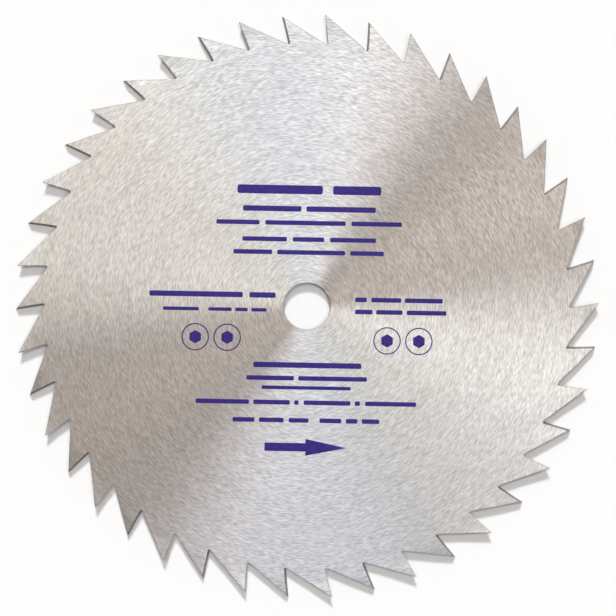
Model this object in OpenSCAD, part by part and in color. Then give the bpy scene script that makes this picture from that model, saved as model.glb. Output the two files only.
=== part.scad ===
// Circular saw blade for wood: one disc of hardened steel with its teeth cut into the rim.
// Every second tooth is bent upwards and the others downwards, so that the kerf is wider than
// the plate, and the gullets are ground at a slant that leaves each tooth a point on its outer side.
// The disc lies flat about the origin, its axis is Z, and the point of the first tooth is on +X.

/* [Plate] */
// Diameter over the tooth points
blade_d = 400; // [250:1:600]
// Thickness of the plate
plate_t = 4; // [2:0.1:6]

/* [Bore] */
// Diameter of the arbor bore
bore_d = 32; // [16:0.5:60]
// Width of the chamfer on both edges of the bore
bore_chamfer = 0.3; // [0.1:0.05:0.8]

/* [Teeth] */
// Number of tooth pairs, each with one tooth set up and one set down
tooth_pairs = 21; // [12:1:30]
// Depth of the gullets below the tooth points
tooth_depth = 20.2; // [15:0.1:30]
// Forward lean of the cutting face from the radius
hook_angle = 8; // [0:0.5:20]
// Radius at the bottom of a gullet
gullet_r = 0.8; // [0.4:0.1:2]
// Slant of the grinding across the plate, turned the other way in every second gullet
bevel_angle = 15; // [5:1:25]

/* [Set] */
// Sideways set of a tooth point from the plane of its plate face
tooth_set = 0.8; // [0.3:0.1:1.5]
// Length of the bent part of a tooth, from its point down to the bend line
set_length = 12; // [6:0.5:16]

/* [Hidden] */
$fn = 180;
steel = [0.80, 0.79, 0.77];

// Straight pieces in the rounded bottom of a gullet
root_steps = 6;
// Length by which a tool or a joined piece reaches past the metal that it meets
reach = 2;

tooth_count = 2 * tooth_pairs;
pitch = 360 / tooth_count;
tip_r = blade_d / 2;
bend_r = tip_r - set_length;
point_z = plate_t / 2 + tooth_set;
// Sideways travel of the slanted grinding between the middle of the plate and a tooth point
slant_shift = point_z * tan(bevel_angle);

function turned(p, a) = [p.x * cos(a) - p.y * sin(a), p.x * sin(a) + p.y * cos(a)];

// Gullet in the middle plane of the plate, in front of the tooth on +X. The cutting face of that
// tooth bounds it on one side and the back of the next tooth on the other. Both stand back by
// slant_shift, because the slant brings each of them through its own point at the height of that point.
face_tip = [tip_r, -slant_shift];
back_tip = turned([tip_r, 0], pitch) + [0, slant_shift];
face_out = [cos(hook_angle), sin(hook_angle)];
face_normal = [-sin(hook_angle), cos(hook_angle)];

// Centre of the gullet's rounded bottom, which touches the face and reaches down to tooth_depth
root_orbit = tip_r - tooth_depth + gullet_r;
beside_face = face_tip + gullet_r * face_normal;
along_face = beside_face * face_out;
down_face = along_face - sqrt(along_face ^ 2 - beside_face * beside_face + root_orbit ^ 2);
root_centre = beside_face - down_face * face_out;

// The back runs from its own tip as a tangent to the rounded bottom
to_root = root_centre - back_tip;
back_angle = atan2(to_root.y, to_root.x) - asin(gullet_r / norm(to_root));
back_out = -[cos(back_angle), sin(back_angle)];
root_start = hook_angle - 90;
root_end = back_angle - 90;
root_sweep = (root_end - root_start - 360) % 360;

gullet_outline = concat(
    [face_tip + reach * face_out],
    [for (i = [0:root_steps])
        let (a = root_start + root_sweep * i / root_steps)
        root_centre + gullet_r * [cos(a), sin(a)]],
    [back_tip + reach * back_out],
    [turned([tip_r / cos(pitch / 2) + reach, 0], pitch / 2)]);

// Tooth's middle on the bend line, from its point
back_foot = turned(root_centre + gullet_r * [cos(root_end), sin(root_end)], -pitch);
face_at_bend = -set_length * tan(hook_angle);
back_at_bend = set_length * back_foot.y / (tip_r - back_foot.x);
tooth_middle = atan2((face_at_bend + back_at_bend) / 2, bend_r);

// Path of the grinding wheel through one gullet, leaning to one side about the radius of its tooth.
// It is long enough to clear both faces of the plate at the far side of the gullet too.
module gullet_cut(side) {
    half_cut = (point_z + reach) / cos(bevel_angle) + (back_tip.y + reach) * sin(bevel_angle);
    rotate([-side * bevel_angle, 0, 0])
        linear_extrude(2 * half_cut, center = true)
            polygon([for (p = gullet_outline) [p.x, p.y * cos(bevel_angle)]]);
}

// Every second tooth gets the children, turned to its place: those set up from 0, those set down from 1
module every_second(first) {
    for (k = [first:2:tooth_count - 1])
        rotate([0, 0, k * pitch])
            children();
}

module arbor_bore() {
    cylinder(h = plate_t + 2 * reach, d = bore_d, center = true);
    for (side = [-1, 1])
        mirror([0, 0, side < 0 ? 1 : 0])
            translate([0, 0, plate_t / 2 - bore_chamfer])
                cylinder(h = reach, d1 = bore_d, d2 = bore_d + 2 * reach);
}

// Strip of plate across the tooth on +X, bent at its bend line to one side: 1 for up, -1 for down.
// It is wide enough for the point, which leans forward from the tooth's middle.
module bent_strip(side) {
    half_t = plate_t / 2;
    half_w = reach - tip_r * sin(tooth_middle);
    lift = side * tooth_set * set_length / (tip_r * cos(tooth_middle) - bend_r);
    rotate([90, 0, tooth_middle])
        linear_extrude(2 * half_w, center = true)
            polygon([
                [bend_r - reach, -half_t], [bend_r, -half_t], [tip_r, lift - half_t],
                [tip_r, lift + half_t], [bend_r, half_t], [bend_r - reach, half_t]]);
}

// Plate before grinding: a flat disc just inside the bend lines, with a bent strip for each tooth
module blank() {
    cylinder(h = plate_t, r = bend_r - reach / 2, center = true);
    every_second(0) bent_strip(1);
    every_second(1) bent_strip(-1);
}

module saw_blade() {
    color(steel)
        difference() {
            difference() {
                blank();
                arbor_bore();
                every_second(0) gullet_cut(1);
            }
            every_second(1) gullet_cut(-1);
        }
}

saw_blade();
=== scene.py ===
"""Looks of a flat steel saw blade with ink marks, on a pale floor, in soft light, under a camera overhead.

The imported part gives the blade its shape, and its node stays as it is. Lengths are in metres, in the
part's frame: the bore's axis is Z, the middle of the plate is z = 0, and the point of one tooth that is
set upwards lies on +X.
"""

import logging
import math
from dataclasses import dataclass, field
from enum import Enum
from typing import Any, Optional, Union

import bpy
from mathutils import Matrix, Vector


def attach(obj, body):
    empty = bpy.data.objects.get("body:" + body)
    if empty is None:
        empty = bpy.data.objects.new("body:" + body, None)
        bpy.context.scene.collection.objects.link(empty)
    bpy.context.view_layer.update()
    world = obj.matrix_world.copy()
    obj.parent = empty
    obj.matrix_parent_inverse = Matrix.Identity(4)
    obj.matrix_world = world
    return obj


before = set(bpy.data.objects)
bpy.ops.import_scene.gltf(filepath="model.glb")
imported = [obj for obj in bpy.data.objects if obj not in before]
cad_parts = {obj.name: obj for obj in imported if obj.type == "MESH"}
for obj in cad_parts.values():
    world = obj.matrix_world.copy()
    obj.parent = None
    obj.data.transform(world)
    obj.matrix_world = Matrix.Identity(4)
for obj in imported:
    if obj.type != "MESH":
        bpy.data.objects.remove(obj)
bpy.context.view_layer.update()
LOG = logging.getLogger("saw_blade")

MM = 0.001
BODY = "root"
BLADE_NODE = "saw_blade"
# Heights of the plate's upper face and of the tooth points over the middle of the plate
FACE_HEIGHT = 2.0 * MM
POINT_HEIGHT = 2.8 * MM
# Points of an outline that lie closer than this are one point
MERGE_DISTANCE = 0.001 * MM

Span = tuple[float, float]
Colour = tuple[float, float, float, float]
Value = Union[float, bpy.types.NodeSocket]
Paint = Union[Colour, bpy.types.NodeSocket]


# Node helpers


def linear(hex_colour: str) -> Colour:
    """Turns an sRGB hex colour into linear RGBA.

    Args:
        hex_colour: The colour, such as "#41357F".

    Returns:
        The linear red, green, blue and alpha.
    """
    channels = [int(hex_colour[i : i + 2], 16) / 255 for i in (1, 3, 5)]
    red, green, blue = (c / 12.92 if c <= 0.04045 else ((c + 0.055) / 1.055) ** 2.4 for c in channels)
    return red, green, blue, 1.0


def add_node(
    tree: bpy.types.NodeTree,
    kind: str,
    inputs: Optional[dict[Any, Any]] = None,
    **settings: Any,
) -> bpy.types.Node:
    """Adds a node, sets it, and fills or links its inputs.

    Args:
        tree: The node tree to add to.
        kind: The node's type, without its "ShaderNode" start.
        inputs: Values or output sockets, by the input's name or index.
        settings: The node's own properties.

    Returns:
        The new node.
    """
    node = tree.nodes.new("ShaderNode" + kind)
    for name, value in settings.items():
        setattr(node, name, value)
    for key, value in (inputs or {}).items():
        if isinstance(value, bpy.types.NodeSocket):
            tree.links.new(value, node.inputs[key])
        else:
            node.inputs[key].default_value = value
    return node


def calculate(
    tree: bpy.types.NodeTree,
    operation: str,
    first: Value,
    second: Value = 0.0,
) -> bpy.types.NodeSocket:
    """Adds a Math node.

    Args:
        tree: The node tree to add to.
        operation: What it works out, such as "MULTIPLY".
        first: The first number.
        second: The second number, where the operation has one.

    Returns:
        The result.
    """
    return add_node(tree, "Math", {0: first, 1: second}, operation=operation).outputs[0]


def remap(
    tree: bpy.types.NodeTree,
    value: bpy.types.NodeSocket,
    start: Span = (0.0, 1.0),
    end: Span = (0.0, 1.0),
    clamp: bool = True,
) -> bpy.types.NodeSocket:
    """Stretches one range of a value to another.

    Args:
        tree: The node tree to add to.
        value: The value.
        start: The range that it has.
        end: The range that it gets.
        clamp: Whether it stays inside that range.

    Returns:
        The new value.
    """
    ranges = {"From Min": start[0], "From Max": start[1], "To Min": end[0], "To Max": end[1]}
    return add_node(tree, "MapRange", {"Value": value, **ranges}, clamp=clamp).outputs[0]


def mix_values(tree: bpy.types.NodeTree, share: Value, first: Value, second: Value) -> bpy.types.NodeSocket:
    """Mixes two numbers.

    Args:
        tree: The node tree to add to.
        share: The second one's share, from 0 to 1.
        first: The first number.
        second: The second number.

    Returns:
        The mixed number.
    """
    return add_node(tree, "Mix", {0: share, 2: first, 3: second}, data_type="FLOAT").outputs[0]


def mix_colours(tree: bpy.types.NodeTree, share: Value, first: Paint, second: Paint) -> bpy.types.NodeSocket:
    """Mixes two colours.

    Args:
        tree: The node tree to add to.
        share: The second one's share, from 0 to 1.
        first: The first colour.
        second: The second colour.

    Returns:
        The mixed colour.
    """
    return add_node(tree, "Mix", {0: share, 6: first, 7: second}, data_type="RGBA").outputs[2]


def new_material(name: str) -> tuple[bpy.types.Material, bpy.types.NodeTree, bpy.types.Node]:
    """Makes an empty node material with an output.

    Args:
        name: The material's name.

    Returns:
        The material, its node tree and its output node.
    """
    material = bpy.data.materials.new(name)
    material.use_nodes = True
    material.node_tree.nodes.clear()
    output = add_node(material.node_tree, "OutputMaterial")
    return material, material.node_tree, output


# Finishes


@dataclass(frozen=True)
class GrindingLay:
    """Short scratches that run round the bore, each about as long at any radius.

    Real grinding marks are some 0.05 mm wide: they are drawn coarser here so that they show.

    Args:
        length: How long a scratch is.
        width: How wide a scratch is.
        detail: How many finer layers of scratches are laid over the first.
        harshness: How strong each finer layer is beside the one before it.
        wander: How far a scratch strays in and out, so that scratches cross.
        stray_rate: How often it strays along its length.
        stray_detail: How many finer turns its way has.
    """

    length: float
    width: float
    detail: float
    harshness: float = 0.6
    wander: float = 0.12 * MM
    stray_rate: float = 0.7
    stray_detail: float = 1.0

    def pattern(self, tree: bpy.types.NodeTree, coords: bpy.types.Node) -> bpy.types.NodeSocket:
        """Builds the scratches' nodes.

        Args:
            tree: The node tree to add to.
            coords: The tree's texture coordinate node.

        Returns:
            The pattern, from 0 to 1.
        """
        place = coords.outputs["Object"]
        flat = add_node(tree, "VectorMath", {0: place, 1: (1, 1, 0)}, operation="MULTIPLY").outputs[0]
        radius = add_node(tree, "VectorMath", {0: flat}, operation="LENGTH").outputs["Value"]
        stray = add_node(
            tree,
            "TexNoise",
            {"Vector": place, "Scale": self.stray_rate / self.length, "Detail": self.stray_detail},
        )
        shift = remap(tree, stray.outputs[0], end=(-self.wander, self.wander), clamp=False)
        strayed = calculate(tree, "ADD", radius, shift)
        across = calculate(tree, "MULTIPLY", strayed, 1 / self.width)
        lift = add_node(tree, "CombineXYZ", {"Z": across})
        along = add_node(tree, "VectorMath", {0: flat, "Scale": 1 / self.length}, operation="SCALE")
        spread = add_node(tree, "VectorMath", {0: along.outputs[0], 1: lift.outputs[0]}, operation="ADD")
        scratches = add_node(
            tree,
            "TexNoise",
            {"Vector": spread.outputs[0], "Scale": 1.0, "Detail": self.detail, "Roughness": self.harshness},
        )
        return scratches.outputs[0]


@dataclass(frozen=True)
class GroundSteel:
    """Hardened tool steel, ground flat while the blade turns under the wheel.

    The grinding lay runs round the bore, so light smears along the radius and the face shows bright and
    dark sectors. The tooth flanks are ground straight through and matt; their dark tones and the dark of
    the rims are painted shade. The bore is reamed and left out of the painted shade.
    """

    light: str = "#ECECEB"
    dark: str = "#C4C3C2"
    # The flanks' two tones are dark to paint in their shade; the grinding lines run between them
    flank: str = "#504C47"
    flank_light: str = "#8C8882"
    # Painted shade: a dark colour laid on every rim, standing in for the shade along the edges
    painted_rim_shade: str = "#36322E"
    roughness: float = 0.34
    roughness_stray: float = 0.04
    anisotropy: float = 0.975
    # A quarter turn smears the light across the scratches, and each scratch strays from that by up to
    # this share of a turn
    lay_turn: float = 0.25
    lay_stray: float = 0.015
    scratches: GrindingLay = GrindingLay(4.0 * MM, 0.48 * MM, 0.5)
    crossing: GrindingLay = GrindingLay(5.2 * MM, 0.528 * MM, 0.5)
    bands: GrindingLay = GrindingLay(22.0 * MM, 2.8 * MM, 3.0)
    band_share: float = 0.25
    # Parts of the lay's pattern that run from the dark to the light steel, and from rough to smooth
    tone_range: Span = (0.36, 0.64)
    lay_range: Span = (0.3, 0.7)
    groove_depth: float = 0.02 * MM
    groove_strength: float = 0.25
    # Share of a surface's normal along Z at which a flank begins, and at which it is all flank
    flank_range: Span = (0.85, 0.4)
    flank_length: float = 4.0 * MM
    flank_line: float = 0.22 * MM
    flank_detail: float = 2.0
    # Grinding rolls the edges over a little
    rim_radius: float = 0.8 * MM
    rim_samples: int = 4
    # Cosines of the rounded edge's lean at which the painted shade of the rims begins, and at which it is
    # full
    rim_range: Span = (0.985, 0.86)
    rim_shade_cover: float = 0.9
    # The painted shade on the flanks and rims starts outside this radius, which leaves the bore out
    shade_free_radius: float = 60.0 * MM
    # Share of bare metal on the flanks and rims
    matt_metal: float = 0.15

    def flank_share(self, tree: bpy.types.NodeTree, coords: bpy.types.Node) -> bpy.types.NodeSocket:
        """Tells the flanks from the faces by the way they look.

        Args:
            tree: The node tree to add to.
            coords: The tree's texture coordinate node.

        Returns:
            1 on a flank and 0 on a face.
        """
        way = add_node(tree, "SeparateXYZ", {0: coords.outputs["Normal"]})
        level = calculate(tree, "ABSOLUTE", way.outputs["Z"])
        return remap(tree, level, start=self.flank_range)

    def flank_colour_with_painted_shade(self, tree: bpy.types.NodeTree, coords: bpy.types.Node) -> bpy.types.NodeSocket:
        """Draws the fine lines that grinding leaves along a flank.

        Args:
            tree: The node tree to add to.
            coords: The tree's texture coordinate node.

        Returns:
            The flanks' colour, dark with painted shade.
        """
        fine = (1 / self.flank_length, 1 / self.flank_length, 1 / self.flank_line)
        lines_at = add_node(tree, "Mapping", {"Vector": coords.outputs["Object"], "Scale": fine})
        lines = add_node(
            tree,
            "TexNoise",
            {"Vector": lines_at.outputs[0], "Scale": 1.0, "Detail": self.flank_detail},
        )
        # Both flank tones are painted shade, with the real grinding lines between them
        return mix_colours(tree, lines.outputs[0], linear(self.flank), linear(self.flank_light))

    def rim_shade_share(self, tree: bpy.types.NodeTree, rounded: bpy.types.Node) -> bpy.types.NodeSocket:
        """Finds the rims, where the rounded surface leans away from the true one.

        Args:
            tree: The node tree to add to.
            rounded: The tree's bevel node.

        Returns:
            The share of the rims' painted shade.
        """
        geometry = add_node(tree, "NewGeometry")
        facing = add_node(
            tree,
            "VectorMath",
            {0: rounded.outputs[0], 1: geometry.outputs["Normal"]},
            operation="DOT_PRODUCT",
        )
        return remap(tree, facing.outputs["Value"], start=self.rim_range, end=(0.0, self.rim_shade_cover))

    def outside_share(self, tree: bpy.types.NodeTree, coords: bpy.types.Node) -> bpy.types.NodeSocket:
        """Leaves the bore out of the painted shade and of what is matt.

        Args:
            tree: The node tree to add to.
            coords: The tree's texture coordinate node.

        Returns:
            1 outside the clean radius and 0 inside it.
        """
        radius = add_node(tree, "VectorMath", {0: coords.outputs["Object"]}, operation="LENGTH")
        return calculate(tree, "GREATER_THAN", radius.outputs["Value"], self.shade_free_radius)

    def material(self) -> bpy.types.Material:
        """Builds the steel's nodes.

        Returns:
            The material.
        """
        material, tree, output = new_material("circular_ground_tool_steel")
        coords = add_node(tree, "TexCoord")
        scratches = self.scratches.pattern(tree, coords)
        lay = mix_values(tree, self.band_share, scratches, self.bands.pattern(tree, coords))
        rounded = add_node(tree, "Bevel", {"Radius": self.rim_radius}, samples=self.rim_samples)

        # Where the flanks and rims are, which get painted shade, and where they are matt
        flank = self.flank_share(tree, coords)
        outside = self.outside_share(tree, coords)
        painted_rim_shade = calculate(tree, "MULTIPLY", self.rim_shade_share(tree, rounded), outside)
        rough_cut = calculate(tree, "MULTIPLY", flank, outside)
        matt = calculate(tree, "MAXIMUM", rough_cut, painted_rim_shade)

        # Colour, with painted shade on the flanks and rims
        tone = remap(tree, lay, start=self.tone_range)
        face_colour = mix_colours(tree, tone, linear(self.dark), linear(self.light))
        colour_with_flank_shade = mix_colours(tree, flank, face_colour, self.flank_colour_with_painted_shade(tree, coords))
        colour = mix_colours(tree, painted_rim_shade, colour_with_flank_shade, linear(self.painted_rim_shade))

        # Shine
        roughness_ends = (self.roughness + self.roughness_stray, self.roughness - self.roughness_stray)
        turn_ends = (self.lay_turn - self.lay_stray, self.lay_turn + self.lay_stray)
        turn = remap(tree, self.crossing.pattern(tree, coords), start=self.lay_range, end=turn_ends)
        tangent = add_node(tree, "Tangent", direction_type="RADIAL", axis="Z")
        grooves = add_node(
            tree,
            "Bump",
            {
                "Strength": self.groove_strength,
                "Distance": self.groove_depth,
                "Height": lay,
                "Normal": rounded.outputs[0],
            },
        )
        steel = add_node(
            tree,
            "BsdfPrincipled",
            {
                "Base Color": colour,
                "Metallic": remap(tree, matt, end=(1.0, self.matt_metal)),
                "Roughness": remap(tree, lay, start=self.lay_range, end=roughness_ends),
                "Normal": grooves.outputs[0],
                "Anisotropic": self.anisotropy,
                "Anisotropic Rotation": turn,
                "Tangent": tangent.outputs[0],
            },
        )
        tree.links.new(steel.outputs[0], output.inputs["Surface"])
        return material


@dataclass(frozen=True)
class ScreenInk:
    """Indigo screen-printing ink, laid thin on bare steel.

    It is satin and a little uneven, and the grinding lay shows in it.
    """

    deep: str = "#2A1C70"
    thin: str = "#382A88"
    roughness: float = 0.42
    roughness_stray: float = 0.08
    specular: float = 0.22
    scratches: GrindingLay = GrindingLay(4.0 * MM, 0.48 * MM, 1.0)
    mottle: float = 2.5 * MM
    mottle_detail: float = 2.0
    mottle_share: float = 0.5
    # Part of the pattern that runs from the deep to the thin ink
    tone_range: Span = (0.35, 0.65)
    groove_depth: float = 0.02 * MM
    groove_strength: float = 0.3

    def material(self) -> bpy.types.Material:
        """Builds the ink's nodes.

        Returns:
            The material.
        """
        material, tree, output = new_material("indigo_screen_ink")
        coords = add_node(tree, "TexCoord")
        lay = self.scratches.pattern(tree, coords)
        cloud = add_node(
            tree,
            "TexNoise",
            {"Vector": coords.outputs["Object"], "Scale": 1 / self.mottle, "Detail": self.mottle_detail},
        )
        cover = mix_values(tree, self.mottle_share, lay, cloud.outputs[0])
        tone = remap(tree, cover, start=self.tone_range)
        roughness_ends = (self.roughness - self.roughness_stray, self.roughness + self.roughness_stray)
        grooves = add_node(
            tree,
            "Bump",
            {"Strength": self.groove_strength, "Distance": self.groove_depth, "Height": lay},
        )
        ink = add_node(
            tree,
            "BsdfPrincipled",
            {
                "Base Color": mix_colours(tree, tone, linear(self.deep), linear(self.thin)),
                "Roughness": remap(tree, cover, end=roughness_ends),
                "Specular IOR Level": self.specular,
                "Normal": grooves.outputs[0],
            },
        )
        tree.links.new(ink.outputs[0], output.inputs["Surface"])
        return material


@dataclass(frozen=True)
class PaleFloor:
    """Matt white paper, which keeps the shadow."""

    paper: str = "#FCFEFF"
    roughness: float = 0.95
    specular: float = 0.0

    def material(self) -> bpy.types.Material:
        """Builds the floor's nodes.

        Returns:
            The material.
        """
        material, tree, output = new_material("matt_white_paper")
        paper = add_node(
            tree,
            "BsdfPrincipled",
            {
                "Base Color": linear(self.paper),
                "Roughness": self.roughness,
                "Specular IOR Level": self.specular,
            },
        )
        tree.links.new(paper.outputs[0], output.inputs["Surface"])
        return material


# Ink marks on the blade's upper face


class StripeWeight(Enum):
    """How tall a stripe of ink is, in millimetres."""

    HEADING = 6.0
    LARGE = 3.7
    MEDIUM = 3.1
    SMALL = 2.4


@dataclass(frozen=True)
class StripeLine:
    """One line of ink stripes.

    Args:
        height: How far the line lies above the bore's centre, in millimetres.
        weight: How tall its stripes are.
        spans: Where each stripe starts and ends along the line, in millimetres.
    """

    height: float
    weight: StripeWeight
    spans: tuple[Span, ...]


@dataclass
class InkMark:
    """A thin film of ink on the upper face, modelled flat about the bore and then turned with the print.

    Args:
        name: The piece's name.
        turn: The angle of the print to the part's X axis, in degrees.
        film: How thick the ink is.
        sunk: How much of that lies in the steel's pores.
    """

    name: str
    turn: float = -1.7
    film: float = 0.05 * MM
    sunk: float = 0.01 * MM

    def build(self, material: bpy.types.Material) -> bpy.types.Object:
        """Models the mark, which each kind of mark does in its own way.

        Args:
            material: The ink.

        Returns:
            The piece.
        """
        raise NotImplementedError

    def finish_piece(self, piece: bpy.types.Object, material: bpy.types.Material) -> bpy.types.Object:
        """Gives a flat outline its thickness, its place and its ink.

        Args:
            piece: The flat outline, at z = 0 about the bore's centre.
            material: The ink.

        Returns:
            The piece, riding on the blade.
        """
        bpy.ops.object.select_all(action="DESELECT")
        piece.select_set(True)
        bpy.context.view_layer.objects.active = piece
        bpy.ops.object.mode_set(mode="EDIT")
        bpy.ops.mesh.select_all(action="SELECT")
        bpy.ops.mesh.remove_doubles(threshold=MERGE_DISTANCE)
        bpy.ops.mesh.normals_make_consistent(inside=False)
        bpy.ops.object.mode_set(mode="OBJECT")
        bpy.ops.object.modifier_add(type="SOLIDIFY")
        solid = piece.modifiers[-1]
        solid.thickness = self.film
        solid.offset = 1.0
        bpy.ops.object.modifier_apply(modifier=solid.name)
        piece.rotation_euler = (0, 0, math.radians(self.turn))
        piece.location = (0, 0, FACE_HEIGHT - self.sunk)
        bpy.ops.object.transform_apply(location=True, rotation=True, scale=True)
        piece.name = self.name
        piece.data.name = self.name
        piece.data.materials.clear()
        piece.data.materials.append(material)
        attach(piece, BODY)
        LOG.info("%s: %d faces", piece.name, len(piece.data.polygons))
        return piece


@dataclass
class StripeBlock(InkMark):
    """Lines of plain ink stripes with rounded corners.

    Args:
        lines: The block's lines.
        corner: The corner radius as a share of the stripe's height.
        corner_steps: How many straight pieces a corner has.
    """

    lines: tuple[StripeLine, ...] = ()
    corner: float = 0.28
    corner_steps: int = 5

    def stripe(self, start: float, end: float, height: float, tall: float) -> bpy.types.Object:
        """Models one stripe, flat.

        Args:
            start: Where it starts along its line.
            end: Where it ends.
            height: Where its middle lies above the bore's centre.
            tall: How tall it is.

        Returns:
            The flat stripe.
        """
        bpy.ops.object.select_all(action="DESELECT")
        bpy.ops.mesh.primitive_plane_add(size=1.0, location=(0, 0, 0))
        stripe = bpy.context.active_object
        bpy.ops.object.mode_set(mode="EDIT")
        bpy.ops.mesh.select_all(action="SELECT")
        bpy.ops.transform.resize(value=(end - start, tall, 1.0))
        bpy.ops.mesh.bevel(offset=self.corner * tall, segments=self.corner_steps, affect="VERTICES")
        bpy.ops.mesh.select_all(action="SELECT")
        bpy.ops.transform.translate(value=((start + end) / 2, height, 0))
        bpy.ops.object.mode_set(mode="OBJECT")
        return stripe

    def build(self, material: bpy.types.Material) -> bpy.types.Object:
        """Models the block's stripes as one piece.

        Args:
            material: The ink.

        Returns:
            The piece.
        """
        stripes = [
            self.stripe(start * MM, end * MM, line.height * MM, line.weight.value * MM)
            for line in self.lines
            for start, end in line.spans
        ]
        bpy.ops.object.select_all(action="DESELECT")
        for stripe in stripes:
            stripe.select_set(True)
        bpy.context.view_layer.objects.active = stripes[0]
        bpy.ops.object.join()
        return self.finish_piece(stripes[0], material)


@dataclass
class RingMark(InkMark):
    """A thin ring of ink with a plain many-sided field in it.

    Args:
        centre: The ring's centre along and above the print's axis, in millimetres.
        outer: The ring's outer radius.
        line: How wide the ring's line is.
        ring_sides: How many straight pieces the ring has.
        field_radius: The field's radius over its corners.
        field_sides: How many sides the field has.
        field_corner: How much of each corner is cut round, as a share of the field's radius.
        corner_steps: How many straight pieces such a corner has.
    """

    centre: Span = (0.0, 0.0)
    outer: float = 9.4 * MM
    line: float = 0.8 * MM
    ring_sides: int = 64
    field_radius: float = 4.6 * MM
    field_sides: int = 6
    field_corner: float = 0.12
    corner_steps: int = 4

    def disc(self, sides: int, radius: float) -> bpy.types.Object:
        """Models a flat disc at the mark's centre, and leaves it selected in edit mode.

        Args:
            sides: How many sides it has.
            radius: Its radius over its corners.

        Returns:
            The disc.
        """
        place = (self.centre[0] * MM, self.centre[1] * MM, 0)
        bpy.ops.object.select_all(action="DESELECT")
        bpy.ops.mesh.primitive_circle_add(vertices=sides, radius=radius, fill_type="NGON", location=place)
        disc = bpy.context.active_object
        bpy.ops.object.mode_set(mode="EDIT")
        bpy.ops.mesh.select_all(action="SELECT")
        return disc

    def build(self, material: bpy.types.Material) -> bpy.types.Object:
        """Models the ring and its field as one piece.

        Args:
            material: The ink.

        Returns:
            The piece.
        """
        ring = self.disc(self.ring_sides, self.outer)
        bpy.ops.mesh.inset(thickness=self.line, use_even_offset=True)
        bpy.ops.mesh.delete(type="FACE")
        bpy.ops.object.mode_set(mode="OBJECT")
        inner = self.disc(self.field_sides, self.field_radius)
        cut = self.field_corner * self.field_radius
        bpy.ops.mesh.bevel(offset=cut, segments=self.corner_steps, affect="VERTICES")
        bpy.ops.object.mode_set(mode="OBJECT")
        ring.select_set(True)
        inner.select_set(True)
        bpy.context.view_layer.objects.active = ring
        bpy.ops.object.transform_apply(location=True, rotation=True, scale=True)
        bpy.ops.object.join()
        return self.finish_piece(ring, material)


@dataclass
class TurnArrow(InkMark):
    """The arrow that shows which way the blade turns.

    Args:
        tail: Where the shaft starts along the print's axis.
        neck: Where the head starts.
        tip: Where the head ends.
        height: How far the arrow lies above the bore's centre.
        shaft: How tall the shaft is.
        head: How tall the head is at its base.
        slack: How far short of the neck a point may lie and still be taken as on it.
    """

    tail: float = -27.3 * MM
    neck: float = 0.7 * MM
    tip: float = 28.8 * MM
    height: float = -96.6 * MM
    shaft: float = 5.7 * MM
    head: float = 11.5 * MM
    slack: float = 0.01 * MM

    def build(self, material: bpy.types.Material) -> bpy.types.Object:
        """Models the arrow: a shaft whose end edge is widened and then drawn out to a point.

        Args:
            material: The ink.

        Returns:
            The piece.
        """
        bpy.ops.object.select_all(action="DESELECT")
        bpy.ops.mesh.primitive_plane_add(size=1.0, location=(0, 0, 0))
        arrow = bpy.context.active_object
        bpy.ops.object.mode_set(mode="EDIT")
        bpy.ops.mesh.select_all(action="SELECT")
        bpy.ops.transform.resize(value=(self.neck - self.tail, self.shaft, 1.0))
        bpy.ops.transform.translate(value=((self.neck + self.tail) / 2, self.height, 0))
        self.select_from(arrow, self.neck - self.slack)
        middle = (self.neck, self.height, 0)
        bpy.ops.mesh.extrude_region_move(TRANSFORM_OT_translate={"value": (0, 0, 0)})
        bpy.ops.transform.resize(value=(1.0, self.head / self.shaft, 1.0), center_override=middle)
        bpy.ops.mesh.extrude_region_move(TRANSFORM_OT_translate={"value": (self.tip - self.neck, 0, 0)})
        bpy.ops.mesh.merge(type="CENTER")
        bpy.ops.object.mode_set(mode="OBJECT")
        return self.finish_piece(arrow, material)

    @staticmethod
    def select_from(piece: bpy.types.Object, start: float) -> None:
        """Selects the edges whose points all lie past a place along X.

        Args:
            piece: The piece, in edit mode.
            start: The place along X.
        """
        bpy.ops.mesh.select_all(action="DESELECT")
        bpy.ops.object.mode_set(mode="OBJECT")
        for vertex in piece.data.vertices:
            vertex.select = vertex.co.x > start
        for edge in piece.data.edges:
            edge.select = all(piece.data.vertices[i].co.x > start for i in edge.vertices)
        bpy.ops.object.mode_set(mode="EDIT")


# The blade


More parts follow.
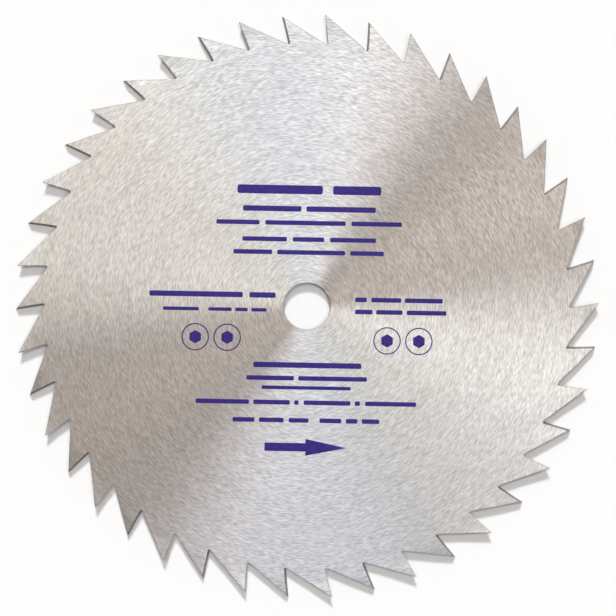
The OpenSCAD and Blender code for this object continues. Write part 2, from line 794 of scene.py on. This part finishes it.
@dataclass
class SawBlade:
    """The blade: the CAD node in ground steel, with ink marks on its upper face."""

    steel: GroundSteel = field(default_factory=GroundSteel)
    ink: ScreenInk = field(default_factory=ScreenInk)

    def dress(self) -> None:
        """Gives the CAD node its steel."""
        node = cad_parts[BLADE_NODE]
        material = self.steel.material()
        if not node.material_slots:
            node.data.materials.append(material)
        for slot in node.material_slots:
            slot.material = material
        LOG.info("%s: %d triangles in ground steel", node.name, len(node.data.polygons))

    def stripe_blocks(self) -> list[StripeBlock]:
        """Lists the blocks of stripes above, beside and below the bore.

        Returns:
            The blocks.
        """
        heading, large, medium, small = StripeWeight
        upper = (
            StripeLine(79.7, heading, ((-49, 9.5), (16.5, 49.5))),
            StripeLine(66.6, large, ((-45, -5), (-1.5, 46))),
            StripeLine(57.0, medium, ((-63, -33.5), (-29.5, 25.5), (29.5, 64))),
            StripeLine(45.7, medium, ((-45, -14.5), (-10.5, 11), (15, 46.5))),
            StripeLine(36.8, medium, ((-51, -24.5), (-21, 25.5), (29, 52))),
        )
        left = (
            StripeLine(7.2, large, ((-108, -44), (-39.5, -21.5))),
            StripeLine(-3.0, small, ((-98.5, -74), (-67.5, -51.5), (-49, -40.5), (-38, -27.5))),
        )
        right = (
            StripeLine(5.1, medium, ((33, 41), (44, 64.5), (67, 93))),
            StripeLine(-3.2, medium, ((33, 45), (47.5, 65.5), (68.5, 95.5))),
        )
        long_spans = ((-75, -38.5), (-35.5, -10.5), (-7.5, -4.5), (-1, 31), (34, 37.5), (41, 76))
        short_spans = ((-49.5, -34.5), (-31.5, -14.5), (-11, 2.5), (10, 25), (28, 36), (39, 51))
        lower = (
            StripeLine(-40.4, large, ((-36, 38),)),
            StripeLine(-49.4, medium, ((-40.5, -8), (-5, 42))),
            StripeLine(-55.9, small, ((-30, 31),)),
            StripeLine(-66.0, medium, long_spans),
            StripeLine(-78.2, medium, short_spans),
        )
        blocks = {"upper": upper, "left": left, "right": right, "lower": lower}
        return [StripeBlock(f"stripes_{side}", lines=lines) for side, lines in blocks.items()]

    def marks(self) -> list[InkMark]:
        """Lists the ink marks.

        Returns:
            The stripe blocks, the rings and the arrow.
        """
        centres = ((-76.1, -22.2), (-54.2, -22.2), (55.3, -22.7), (77.1, -22.7))
        rings = [RingMark(f"ring_mark_{i}", centre=centre) for i, centre in enumerate(centres, 1)]
        return [*self.stripe_blocks(), *rings, TurnArrow("turn_arrow")]

    def build(self) -> None:
        """Dresses the blade and prints its marks."""
        self.dress()
        ink = self.ink.material()
        for mark in self.marks():
            mark.build(ink)


# Floor, light and camera


@dataclass(frozen=True)
class SoftLamp:
    """A large, far lamp that gives even soft light, or a strip of such lamps side by side.

    Args:
        name: The lamp's name.
        azimuth: Where its middle stands round the blade, in degrees from +X.
        strength: The strength of all its lamps together.
        colour: Its colour.
        elevation: How high it stands, in degrees.
        spread: How wide each lamp looks from the blade, in degrees.
        count: How many lamps stand side by side.
        arc: The angle from the first of them to the last, in degrees.
        mirrored: Whether the steel mirrors it. A low lamp that is mirrored burns out the face in low views.
        distance: How far away it is drawn, which changes nothing in its light.
    """

    name: str
    azimuth: float
    strength: float
    colour: str
    elevation: float = 67.0
    spread: float = 8.0
    count: int = 1
    arc: float = 0.0
    mirrored: bool = True
    distance: float = 3.0

    def build(self) -> None:
        """Makes the lamp, or each lamp of its strip."""
        for i in range(self.count):
            share = i / (self.count - 1) - 0.5 if self.count > 1 else 0.0
            self.build_one(f"{self.name}_{i + 1}", self.azimuth + share * self.arc)

    def build_one(self, name: str, azimuth: float) -> None:
        """Makes one lamp.

        Args:
            name: Its name.
            azimuth: Where it stands round the blade, in degrees.
        """
        data = bpy.data.lights.new(name, "SUN")
        data.energy = self.strength / self.count
        data.angle = math.radians(self.spread)
        data.color = linear(self.colour)[:3]
        lamp = bpy.data.objects.new(name, data)
        bpy.context.scene.collection.objects.link(lamp)
        around, up = math.radians(azimuth), math.radians(self.elevation)
        towards = Vector((math.cos(up) * math.cos(around), math.cos(up) * math.sin(around), math.sin(up)))
        lamp.rotation_euler = towards.to_track_quat("Z", "Y").to_euler()
        lamp.location = towards * self.distance
        lamp.visible_glossy = self.mirrored


# The key casts the shadows, and the high fills make the bright and dark sectors of the steel
LAMPS = (
    SoftLamp("key", 93, 2.48, "#FFFFFF", elevation=35.5, spread=10, mirrored=False),
    SoftLamp("top_fill", 97, 0.44, "#FBFEFF", elevation=71, count=5, arc=48),
    SoftLamp("top_left_fill", 134, 0.165, "#FFF1DE", count=2, arc=14),
    SoftLamp("left_fill", 163, 0.14, "#FFEDDA", count=3, arc=26),
    SoftLamp("low_fill", 267, 0.145, "#E2E2FF", count=3, arc=34),
    SoftLamp("low_right_fill", 321, 0.14, "#F0F6FF", count=3, arc=20),
    SoftLamp("right_fill", 347, 0.30, "#FFFEFB", count=3, arc=20),
    SoftLamp("upper_right_fill", 27, 0.18, "#FFEFE2", elevation=75, count=3, arc=22),
    SoftLamp("top_right_fill", 64, 0.095, "#FFF1E6", elevation=73),
)


@dataclass
class Studio:
    """A pale floor under the blade, soft lamps, a dim room with a pale horizon, and a camera overhead."""

    floor_size: float = 8.0
    paper: PaleFloor = field(default_factory=PaleFloor)
    lamps: tuple[SoftLamp, ...] = LAMPS
    room: str = "#FFF6F0"
    room_strength: float = 0.06
    horizon_strength: float = 0.6
    # Height at which the pale horizon ends, as the sine of its elevation
    horizon_height: float = 0.5
    # The camera's lens and sensor are in millimetres, and its roll is in degrees
    lens: float = 100.0
    sensor: float = 36.0
    roll: float = -0.65
    aim: Span = (0.74 * MM, -1.17 * MM)
    view_width: float = 421.8 * MM

    def build(self) -> None:
        """Builds the floor, the light and the camera."""
        self.build_floor()
        self.build_room()
        for lamp in self.lamps:
            lamp.build()
        self.build_camera()

    def build_floor(self) -> None:
        """Lays the floor at the height of the lowest tooth points."""
        bpy.ops.object.select_all(action="DESELECT")
        bpy.ops.mesh.primitive_plane_add(size=self.floor_size, location=(0, 0, -POINT_HEIGHT))
        floor = bpy.context.active_object
        floor.name = "floor"
        floor.data.materials.append(self.paper.material())

    def build_room(self) -> None:
        """Sets the light of the room, which is palest at the horizon."""
        world = bpy.data.worlds.new("warm_room")
        world.use_nodes = True
        bpy.context.scene.world = world
        tree = world.node_tree
        tree.nodes.clear()
        coords = add_node(tree, "TexCoord")
        way = add_node(tree, "SeparateXYZ", {0: coords.outputs["Generated"]})
        fall = (self.horizon_strength, self.room_strength)
        strength = remap(tree, way.outputs["Z"], start=(0.0, self.horizon_height), end=fall)
        room = add_node(tree, "Background", {"Color": linear(self.room), "Strength": strength})
        output = add_node(tree, "OutputWorld")
        tree.links.new(room.outputs[0], output.inputs["Surface"])

    def build_camera(self) -> None:
        """Hangs the camera over the bore, square to the blade's face."""
        data = bpy.data.cameras.new("overhead_camera")
        data.lens = self.lens
        data.sensor_width = self.sensor
        camera = bpy.data.objects.new("overhead_camera", data)
        bpy.context.scene.collection.objects.link(camera)
        above = self.view_width * self.lens / self.sensor
        camera.location = (self.aim[0], self.aim[1], FACE_HEIGHT + above)
        camera.rotation_euler = (0, 0, math.radians(self.roll))
        bpy.context.scene.camera = camera


def main() -> None:
    """Builds the blade and the studio."""
    logging.basicConfig(level=logging.INFO, format="%(name)s: %(message)s")
    bpy.context.scene.view_settings.view_transform = "Standard"
    SawBlade().build()
    Studio().build()


if __name__ == "__main__":
    main()
